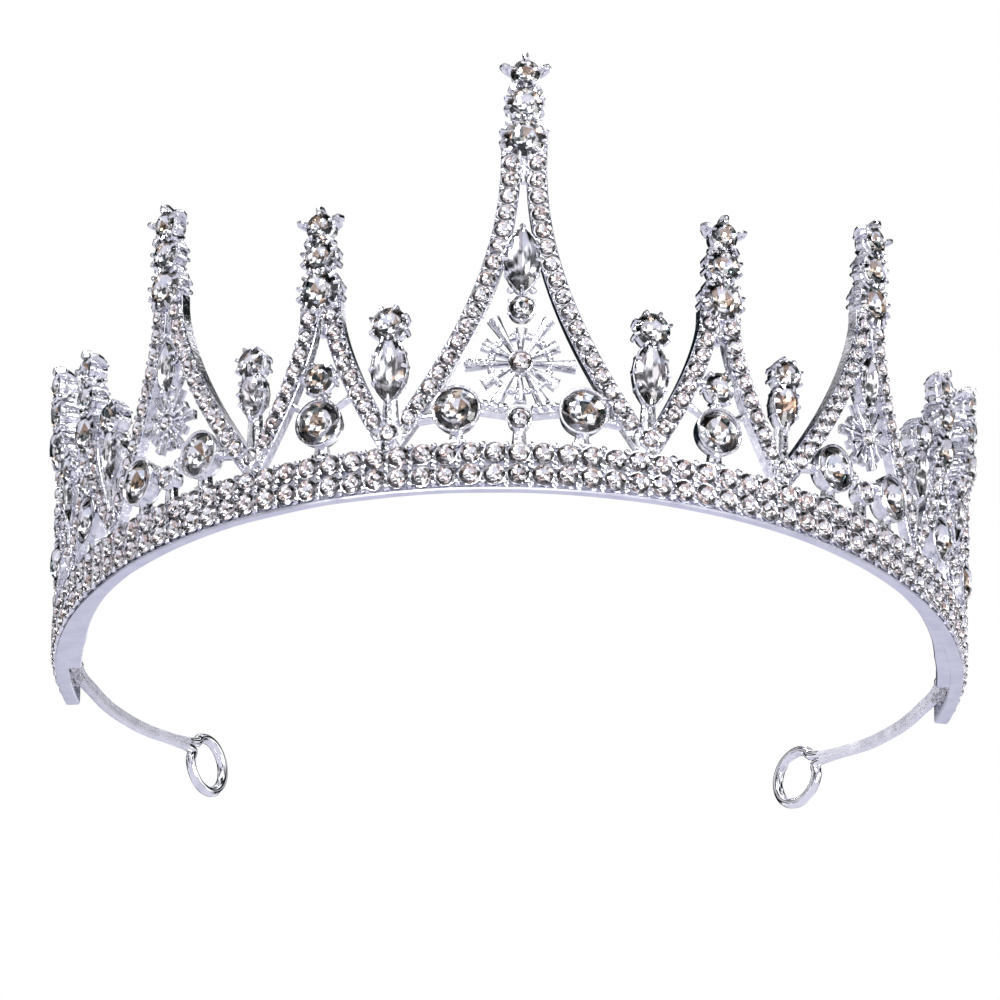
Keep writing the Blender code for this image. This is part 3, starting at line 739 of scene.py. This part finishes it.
def fill_burst(casting, small, label, nodes, arc, middle, draw):
    """What an arch with a starburst holds besides the starburst."""
    facts = ARCHES[label]
    size = facts["marquise"]
    marquise_z = place_of(nodes["marquise"])[1]
    make_marquise_cup(casting, marquise_z, size)
    bar_z = marquise_z + 1.0
    for side in (-1, 1):
        start = (side * 1.9 * size, bar_z)
        end = (side * middle(bar_z), bar_z + 0.5)
        bar(casting, start, end, (1.2, 1.7), -1.5, -0.4)
        ball(casting, side * 1.75 * size, -0.3, marquise_z - 5.0 * size, 0.62)
    small_cup(casting, 0.0, LOW_CUP_HEIGHT, 1.95, -2.5)
    round_stone(small, 0.0, 0.1, LOW_CUP_HEIGHT, 1.6, draw, SMALL_FOIL_PAINTED_REFLECTIONS)
    bar(casting, (0.0, LEG_FOOT - 0.4), (0.0, LOW_CUP_HEIGHT), (2.4, 1.6), -1.7, -0.35)
    if facts["cup_z"]:
        small_cup(casting, 0.0, facts["cup_z"], 2.2, -2.5, 6)
        round_stone(small, 0.0, 0.15, facts["cup_z"], 1.82, draw, LARGE_FOIL_PAINTED_REFLECTIONS)
        bar(casting, (0.0, facts["cup_z"] + 1.8), (0.0, marquise_z - 4.8), (1.8, 1.4), -1.6, -0.4)
    bezels = []
    for node in nodes["bezels"]:
        at, z = place_of(node)
        u = at - arc if arc == 0.0 else abs(at) - abs(arc)
        bezels.append(u)
        setting_on_post(casting, u, z)
    for u in bezels:
        inner = 1.9 if u > 0 else -1.9
        edge = u - math.copysign(3.5, u)
        bar(casting, (inner, 13.5), (edge, 14.1), (2.1, 1.9), -1.7, -0.5)
        nuggets(casting, (inner, 14.0), (edge, 14.6), 3, 0.85, draw)
        outer = math.copysign(middle(12.8) + 0.6, u)
        bar(casting, (u + math.copysign(3.4, u), 13.0), (outer, 12.6), (1.5, 1.8), -1.7, -0.5)


def fill_drop(casting, small, label, node, middle, draw):
    """What a plain arch holds: a bezel, a small pronged cup over it, braces and bars."""
    upper_z, radius = ARCHES[label]["drop"]
    z = place_of(node)[1]
    setting_on_post(casting, 0.0, z)
    prong_cup(casting, upper_z, radius, -2.5, 0.2, 6, 0.2, 0.3)
    round_stone(small, 0.0, 0.25, upper_z, radius * 0.92, draw, LARGE_FOIL_PAINTED_REFLECTIONS)
    bar(casting, (0.0, z + 3.2), (0.0, upper_z - radius + 0.4), (2.2, 1.6), -1.6, -0.4)
    ball(casting, 0.0, -0.2, z + 4.1, 0.7)
    bar_z = upper_z + 0.8
    brace_z = z + 4.6
    for side in (-1, 1):
        start = (side * radius * 0.8, bar_z)
        end = (side * middle(bar_z), bar_z + 0.6)
        bar(casting, start, end, (1.1, 1.5), -1.5, -0.4)
        start = (side * 2.7, z + 2.7)
        end = (side * middle(brace_z), brace_z + 0.4)
        bar(casting, start, end, (0.7, 1.5), -1.6, -0.45, 0.6)


def make_arch(label, side_name, side, draw):
    suffix = "_" + side_name
    facts = ARCHES[label]
    arc, large_z = place_of("spire_stone_" + label + suffix)
    arc = 0.0 if side_name == "centre" else arc
    casting = Sketch(SILVER, RECESS_PAINTED_SHADE)
    pave = Sketch(CROWN, SMALL_FOIL_PAINTED_REFLECTIONS)
    small = Sketch(CROWN, SMALL_FOIL_PAINTED_REFLECTIONS, LARGE_FOIL_PAINTED_REFLECTIONS)
    inner, outer = facts["foot"]
    make_leg(casting, pave, inner, large_z, facts["power"], -1, draw)
    make_leg(casting, pave, outer, large_z, facts["power"], 1, draw)
    middle = leg_curve(min(inner, outer), large_z, facts["power"])
    make_junction(casting, pave, outer, draw)
    if side_name == "centre":
        make_junction(casting, pave, -outer, draw)
    make_spire(casting, small, large_z, draw)
    if "star" in facts:
        if side_name == "centre":
            bezels = ["bezel_stone_1_left", "bezel_stone_1_right"]
        else:
            bezels = ["bezel_stone_3_front" + suffix, "bezel_stone_3_back" + suffix]
        nodes = {"marquise": "marquise_stone_" + label + suffix, "bezels": bezels}
        fill_burst(casting, small, label, nodes, arc, middle, draw)
    else:
        fill_drop(casting, small, label, "bezel_stone_" + label + suffix, middle, draw)
    name = "arch_" + label + suffix
    placed(casting, name + "_casting", arc, side, [name])
    placed(pave, name + "_leg_stones", arc, side)
    placed(small, name + "_cup_stones", arc, side)


# ---------------------------------------------------------------- starbursts
def make_starburst(label, side_name, side, draw):
    name = "starburst_" + label + "_" + side_name
    arc = 0.0 if side_name == "centre" else place_of(name)[0]
    size = ARCHES[label]["star"]
    sketch = Sketch(SILVER, RECESS_PAINTED_SHADE)
    lengths = STAR_RAYS + STAR_RAYS[-2:0:-1]
    for i, length in enumerate(lengths):
        turn = math.radians(90.0 - RAY_ANGLE * i)
        x, z = math.cos(turn), math.sin(turn)
        near, far = 1.9 * size, length * size
        start = (near * x, STAR_HEIGHT + near * z)
        end = (far * x, STAR_HEIGHT + far * z)
        rim = (end[0] + 0.12 * x, end[1] + 0.12 * z)
        # Painted shade: a dark strip in the recess finish, just wider than the ray, shows at its sides as
        # the shade beside it.
        bar(sketch, start, rim, (0.4 * size, 2.2 * size), -1.0, -0.5, 0.1, RECESS_PAINTED_SHADE)
        bar(sketch, start, rim, (0.4 * size, 2.2 * size), -1.5, -0.95, 0.1)
        bar(sketch, start, end, (0.5 * size, 1.85 * size), -1.45, 0.05, 0.5)
        tip = far - 0.35 * size
        ball(sketch, tip * x, -0.75, STAR_HEIGHT + tip * z, 0.72 * size, 0.7, 7)
        after = turn - math.radians(RAY_ANGLE)
        ring = (4.7 if i % 2 else 5.0) * size
        start = (ring * x, STAR_HEIGHT + ring * z)
        end = (ring * math.cos(after), STAR_HEIGHT + ring * math.sin(after))
        bar(sketch, start, end, (0.85 * size, 0.85 * size), -1.4, -0.5)
        between = turn - math.radians(RAY_ANGLE / 2)
        ring = 4.75 * size
        ball(sketch, ring * math.cos(between), -0.65, STAR_HEIGHT + ring * math.sin(between),
             0.6 * size, 0.9, 7)
    small_cup(sketch, 0.0, STAR_HEIGHT, 2.0 * size ** 0.5, -2.3, 0)
    placed(sketch, name + "_casting", arc, side, [name])
    stones = Sketch(CROWN, SMALL_FOIL_PAINTED_REFLECTIONS)
    round_stone(stones, 0.0, 0.1, STAR_HEIGHT, 1.66 * size ** 0.5, draw, SMALL_FOIL_PAINTED_REFLECTIONS)
    placed(stones, name + "_stone", arc, side)


# ---------------------------------------------------------------- finials
def make_marquise_cup(sketch, z, size):
    """A pointed cup with V prongs at its tips and claws at its sides."""
    width, length = MARQUISE_WIDTH * size, MARQUISE_LENGTH * size
    lathe(sketch, 0.0, z, marquise(width + 0.75, length + 0.85, 9), (
        (0.72, -2.7), (0.86, -2.2), (0.97, -1.2), (0.99, -0.2), (0.97, 0.12), (0.92, 0.15),
        (0.89, -0.1), (0.5, -1.5)))
    for side in (-1, 1):
        tip = z + side * (length + 0.35)
        route = [(0.0, -2.2, tip), (0.0, -0.2, tip + side * 0.3), (0.0, 0.55, tip - side * 0.1),
                 (0.0, 0.7, tip - side * 1.0)]
        tube(sketch, route, (0.4, 0.5, 0.45, 0.3), 6)
        for lift, share in ((-0.45, 0.80), (0.0, 1.0), (0.45, 0.80)):
            at = lift * MARQUISE_LENGTH * size
            out = side * (MARQUISE_WIDTH * size * share + 0.55)
            route = [(out * 0.8, -2.3, z + at), (out, -0.4, z + at), (out * 0.98, 0.3, z + at),
                     (out * 0.78, 0.55, z + at * 0.97)]
            tube(sketch, route, (0.36, 0.48, 0.46, 0.3), 6)


def make_finial(label, side_name, side, draw):
    node = "finial_" + label + "_" + side_name
    stone_node = "finial_" + label + "_stone_" + side_name
    arc, marquise_z = place_of(stone_node)
    size, round_z = FINIALS[label]
    casting = Sketch(SILVER, RECESS_PAINTED_SHADE)
    make_marquise_cup(casting, marquise_z, size)
    radius = FINIAL_CUP * size ** 0.5 - 0.1
    prong_cup(casting, round_z, radius, -2.9, 0.3, 8, 0.39)
    top = marquise_z + 4.6 * size
    bar(casting, (0.0, top), (0.0, round_z - radius * 0.6), (1.8, 2.4), -2.2, -0.4)
    tip = marquise_z - MARQUISE_LENGTH * size
    bar(casting, (0.0, JUNCTION_HEIGHT + 1.0), (0.0, tip + 0.9), (2.7, 2.0), -1.7, -0.3)
    placed(casting, node + "_casting", arc, side, [node])
    stones = Sketch(CROWN, LARGE_FOIL_PAINTED_REFLECTIONS)
    round_stone(stones, 0.0, 0.35, round_z, radius * 0.94, draw, LARGE_FOIL_PAINTED_REFLECTIONS)
    placed(stones, node + "_round_stone", arc, side)
    gem = Sketch(CROWN, NAVETTE_FOIL_PAINTED_REFLECTIONS)
    marquise_stone(gem, marquise_z, size, draw)
    placed(gem, node + "_marquise", arc, side, [stone_node])


# ---------------------------------------------------------------- large set stones
def make_large_stones(draw):
    """The stones that the frame holds as nodes of their own, cut in full."""
    for node in sorted(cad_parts):
        if not node.startswith(("spire_stone", "bezel_stone", "marquise_stone")):
            continue
        arc, z = place_of(node)
        side = 1 if arc >= 0 else -1
        arc = 0.0 if node.endswith("centre") else arc
        gem = Sketch(CROWN, NAVETTE_FOIL_PAINTED_REFLECTIONS if node.startswith("marquise") else LARGE_FOIL_PAINTED_REFLECTIONS)
        if node.startswith("marquise"):
            marquise_stone(gem, z, ARCHES[node.split("_")[2]]["marquise"], draw)
        elif node.startswith("bezel"):
            round_stone(gem, 0.0, 0.2, z, BEZEL_STONE, draw, LARGE_FOIL_PAINTED_REFLECTIONS, 0.04)
        else:
            round_stone(gem, 0.0, 0.35, z, LARGE_STONE, draw, LARGE_FOIL_PAINTED_REFLECTIONS, 0.04)
        placed(gem, node + "_cut", arc, side, [node])


# ---------------------------------------------------------------- arms
def smooth_route(points, per_span):
    """A Catmull-Rom curve through the points."""
    ends = [2 * points[0] - points[1]] + points + [2 * points[-1] - points[-2]]
    route = []
    for a, b, c, d in zip(ends, ends[1:], ends[2:], ends[3:]):
        for i in range(per_span):
            t = i / per_span
            route.append(0.5 * (2 * b + (c - a) * t + (2 * a - 5 * b + 4 * c - d) * t ** 2
                                + (3 * b - a - 3 * c + d) * t ** 3))
    route.append(points[-1])
    return route


def make_arm(name, side):
    """One wire, doubled along the arm and looped round into the eye at its end."""
    anchor = []
    arc = ANCHOR_START
    while wall_point(arc)[0].y < HINGE_Y - 1.5:
        plan = wall_point(arc)[0] - wall_point(arc)[1] * (BAND_THICKNESS + 0.3 + WIRE / 2)
        anchor.append(Vector((side * plan.x, plan.y, 2.1)))
        arc += 4.0
    middle = anchor + [Vector((side * x, y, z)) for x, y, z in ARM_ROUTE]
    along = middle[-1] - middle[-2]
    along.z = 0.0
    along.normalize()
    along = Matrix.Rotation(side * math.radians(EYE_TURN[name]), 3, "Z") @ along
    centre = middle[-1] + along * EYE_RADIUS * math.cos(math.radians(EYE_JOIN))
    centre.z = EYE_HEIGHT
    up = Vector((0.0, 0.0, 1.0))
    loop = []
    for i in range(17):
        turn = math.radians(-168.0 - EYE_JOIN + 336.0 * i / 16)
        loop.append(centre + (along * math.cos(turn) + up * math.sin(turn)) * EYE_RADIUS)
    last = len(middle) - 2
    spread = [Vector((0.0, 0.0, WIRE / 2 * (1.0 - 0.6 * max(0, i - 3) / (last - 3))))
              for i in range(last + 1)]
    lower = [point - apart for point, apart in zip(middle, spread)]
    upper = [point + apart for point, apart in zip(middle, spread)]
    points = [point + Vector((0.0, CENTRE_Y, 0.0)) for point in lower + loop + upper[::-1]]
    route = smooth_route(points, 5)
    sketch = Sketch(WIRE_SILVER, EYE_SILVER)
    radii = []
    for point in route:
        near = (point - centre - Vector((0.0, CENTRE_Y, 0.0))).length < EYE_RADIUS + 0.4
        radii.append(EYE_WIRE / 2 if near else WIRE / 2)
    tube(sketch, route, radii, 14, WIRE_SILVER)
    seam = [point + Vector((0.0, CENTRE_Y, 0.0)) for point in middle[:-1]]
    seam_route = smooth_route(seam, 5)
    seam_radii = []
    for i in range(len(seam_route)):
        apart = spread[min(i // 5, last)].z
        neck = math.sqrt(max(0.0, (WIRE / 2) ** 2 - apart ** 2))
        seam_radii.append(max(0.42, neck + 0.09))
    tube(sketch, seam_route, seam_radii, 10, WIRE_SILVER)
    work = bmesh.new()
    verts = [work.verts.new(Vector(co) * MM) for co in sketch.verts]
    for ring, _, smooth, _ in sketch.faces:
        made = work.faces.new([verts[i] for i in ring])
        from_eye = made.calc_center_median() / MM - (centre + Vector((0.0, CENTRE_Y, 0.0)))
        made.material_index = 1 if from_eye.length < EYE_RADIUS + WIRE else 0
        made.smooth = smooth
    bmesh.ops.recalc_face_normals(work, faces=work.faces)
    piece = finished(work, sketch.finishes, name + "_wire", [name, name + "_anchor"], None)
    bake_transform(piece)


def make_solder(name, side, draw):
    """Rough solder where the arm's anchor meets the inside of the band."""
    sketch = Sketch(SOLDER)
    for i in range(26):
        arc = 118.0 + 0.36 * i + draw.uniform(-0.4, 0.4)
        depth = -BAND_THICKNESS - draw.uniform(-0.4, 1.7)
        radius = draw.uniform(0.45, 0.95)
        ball(sketch, arc, depth, radius + draw.uniform(0.0, 0.7), radius, 0.8, 9, SOLDER)
    placed(sketch, name, 0.0, side)


# ---------------------------------------------------------------- studio and camera
# direction, angle from its middle to its edge in degrees, and colour
STUDIO_CARDS = (
    ((-0.45, 0.78, 0.42), 27.0, (0.006, 0.012, 0.016)),
    ((-0.80, 0.55, 0.12), 14.0, (0.01, 0.014, 0.018)),
    ((0.30, -0.50, 0.80), 13.0, (0.008, 0.01, 0.01)),
    ((0.85, 0.05, 0.50), 15.0, (0.01, 0.012, 0.014)),
    ((-0.75, -0.45, 0.45), 12.0, (0.012, 0.016, 0.016)),
    ((0.10, -0.95, 0.30), 16.0, (1.5, 1.5, 1.55)),
)


def add_card(nodes, links, where, color, direction, wide, tone):
    """A round card of light or dark in one direction, over what is there already."""
    facing = nodes.new("ShaderNodeVectorMath")
    facing.operation = "DOT_PRODUCT"
    facing.inputs[1].default_value = Vector(direction).normalized()
    links.new(where.outputs["Generated"], facing.inputs[0])
    edge = nodes.new("ShaderNodeMapRange")
    edge.inputs["From Min"].default_value = math.cos(math.radians(wide * 1.15))
    edge.inputs["From Max"].default_value = math.cos(math.radians(wide * 0.9))
    links.new(facing.outputs["Value"], edge.inputs["Value"])
    mix = nodes.new("ShaderNodeMix")
    mix.data_type = "RGBA"
    links.new(edge.outputs["Result"], mix.inputs["Factor"])
    links.new(color, mix.inputs["A"])
    mix.inputs["B"].default_value = (*tone, 1.0)
    return mix.outputs["Result"]


def make_world():
    """A pale studio all round, with a few darker and warmer patches for the metal to reflect."""
    world = bpy.data.worlds.new("studio")
    bpy.context.scene.world = world
    world.use_nodes = True
    nodes, links = world.node_tree.nodes, world.node_tree.links
    nodes.clear()
    where = nodes.new("ShaderNodeTexCoord")
    patches = nodes.new("ShaderNodeTexNoise")
    patches.inputs["Scale"].default_value = 3.2
    patches.inputs["Detail"].default_value = 1.5
    links.new(where.outputs["Generated"], patches.inputs["Vector"])
    ramp = ramp_of(nodes, (
        (0.0, (0.005, 0.01, 0.01)), (0.44, (0.015, 0.025, 0.025)), (0.47, (0.30, 0.27, 0.27)),
        (0.50, (0.72, 0.72, 0.78)), (0.58, (0.95, 0.95, 1.0)), (0.66, (2.4, 2.4, 2.45))))
    links.new(patches.outputs["Fac"], ramp.inputs["Fac"])
    color = ramp.outputs["Color"]
    for direction, wide, tone in STUDIO_CARDS:
        color = add_card(nodes, links, where, color, direction, wide, tone)
    split = nodes.new("ShaderNodeSeparateXYZ")
    links.new(where.outputs["Generated"], split.inputs["Vector"])
    level = nodes.new("ShaderNodeMapRange")
    level.inputs["From Min"].default_value = -0.35
    level.inputs["From Max"].default_value = -0.05
    links.new(split.outputs["Z"], level.inputs["Value"])
    below = nodes.new("ShaderNodeMix")
    below.data_type = "RGBA"
    links.new(level.outputs["Result"], below.inputs["Factor"])
    below.inputs["A"].default_value = (0.75, 0.75, 0.87, 1.0)
    links.new(color, below.inputs["B"])
    studio = nodes.new("ShaderNodeBackground")
    links.new(below.outputs["Result"], studio.inputs["Color"])
    studio.inputs["Strength"].default_value = 1.0
    plain = nodes.new("ShaderNodeBackground")
    plain.inputs["Color"].default_value = (1.0, 1.0, 1.0, 1.0)
    plain.inputs["Strength"].default_value = 1.0
    rays = nodes.new("ShaderNodeLightPath")
    mix = nodes.new("ShaderNodeMixShader")
    links.new(rays.outputs["Is Camera Ray"], mix.inputs["Fac"])
    links.new(studio.outputs["Background"], mix.inputs[1])
    links.new(plain.outputs["Background"], mix.inputs[2])
    out = nodes.new("ShaderNodeOutputWorld")
    links.new(mix.outputs["Shader"], out.inputs["Surface"])


def make_floor():
    """A pale floor that the tiara stands on; seen from underneath it is clear."""
    bpy.ops.mesh.primitive_circle_add(vertices=96, radius=1.2, fill_type="NGON", location=(0, 0, -0.0004))
    floor = bpy.context.object
    floor.name = "floor"
    made, nodes, links, shader = new_material("floor_white")
    shader.inputs["Base Color"].default_value = (0.93, 0.93, 0.95, 1.0)
    shader.inputs["Roughness"].default_value = 0.6
    clear = nodes.new("ShaderNodeBsdfTransparent")
    which = nodes.new("ShaderNodeNewGeometry")
    mix = nodes.new("ShaderNodeMixShader")
    links.new(which.outputs["Backfacing"], mix.inputs["Fac"])
    links.new(shader.outputs["BSDF"], mix.inputs[1])
    links.new(clear.outputs["BSDF"], mix.inputs[2])
    links.new(mix.outputs["Shader"], nodes["Material Output"].inputs["Surface"])
    floor.data.materials.append(made)
    floor.visible_glossy = False
    floor.visible_transmission = False


def make_camera():
    """The photograph's view: from the front, below the band, through a long lens."""
    distance, lens = 1.520, 335.5
    pitch, yaw, roll = math.radians(-22.39), math.radians(0.70), math.radians(0.98)
    aim = Vector((0.0, CENTRE_Y, BAND_ROWS[0])) * MM
    ahead = Vector((math.sin(yaw), math.cos(yaw), 0.0))
    view = ahead * math.cos(pitch) - Vector((0, 0, math.sin(pitch)))
    right = Vector((math.cos(yaw), -math.sin(yaw), 0.0))
    above = ahead * math.sin(pitch) + Vector((0, 0, math.cos(pitch)))
    across = right * math.cos(roll) + above * math.sin(roll)
    upward = -right * math.sin(roll) + above * math.cos(roll)
    position = aim - view * distance
    focus = aim - across * 0.0015 + upward * 0.0269
    forward = (focus - position).normalized()
    across = (across - forward * across.dot(forward)).normalized()
    upward = across.cross(forward)
    camera = bpy.data.objects.new("camera", bpy.data.cameras.new("camera"))
    bpy.context.scene.collection.objects.link(camera)
    camera.data.lens = lens
    camera.data.sensor_width = 36.0
    camera.data.clip_start = 0.05
    turn = Matrix((across, upward, -forward)).transposed().to_4x4()
    camera.matrix_world = Matrix.Translation(position) @ turn
    bpy.context.scene.camera = camera


def make_key_light(name, location, size, energy):
    lamp = bpy.data.lights.new(name, "AREA")
    lamp.size = size
    lamp.energy = energy
    light = bpy.data.objects.new(name, lamp)
    light.location = location
    light.rotation_euler = (-Vector(location)).to_track_quat("-Z", "Y").to_euler()
    bpy.context.scene.collection.objects.link(light)


def main():
    draw = random.Random(7)
    make_camera()
    make_world()
    make_floor()
    make_key_light("key", (-0.5, -0.9, 0.8), 0.35, 14.0)
    make_key_light("fill", (0.7, -0.8, -0.2), 0.5, 8.0)
    bpy.context.scene.view_settings.view_transform = "Standard"
    make_band(draw)
    make_arch("1", "centre", 1, draw)
    make_starburst("1", "centre", 1, draw)
    for side_name, side in (("right", 1), ("left", -1)):
        for label in ("2", "3", "4", "5"):
            make_arch(label, side_name, side, draw)
        make_starburst("3", side_name, side, draw)
        for label in FINIALS:
            make_finial(label, side_name, side, draw)
        make_arm(side_name + "_arm", side)
        make_solder(side_name + "_solder", side, draw)
    make_large_stones(draw)


main()
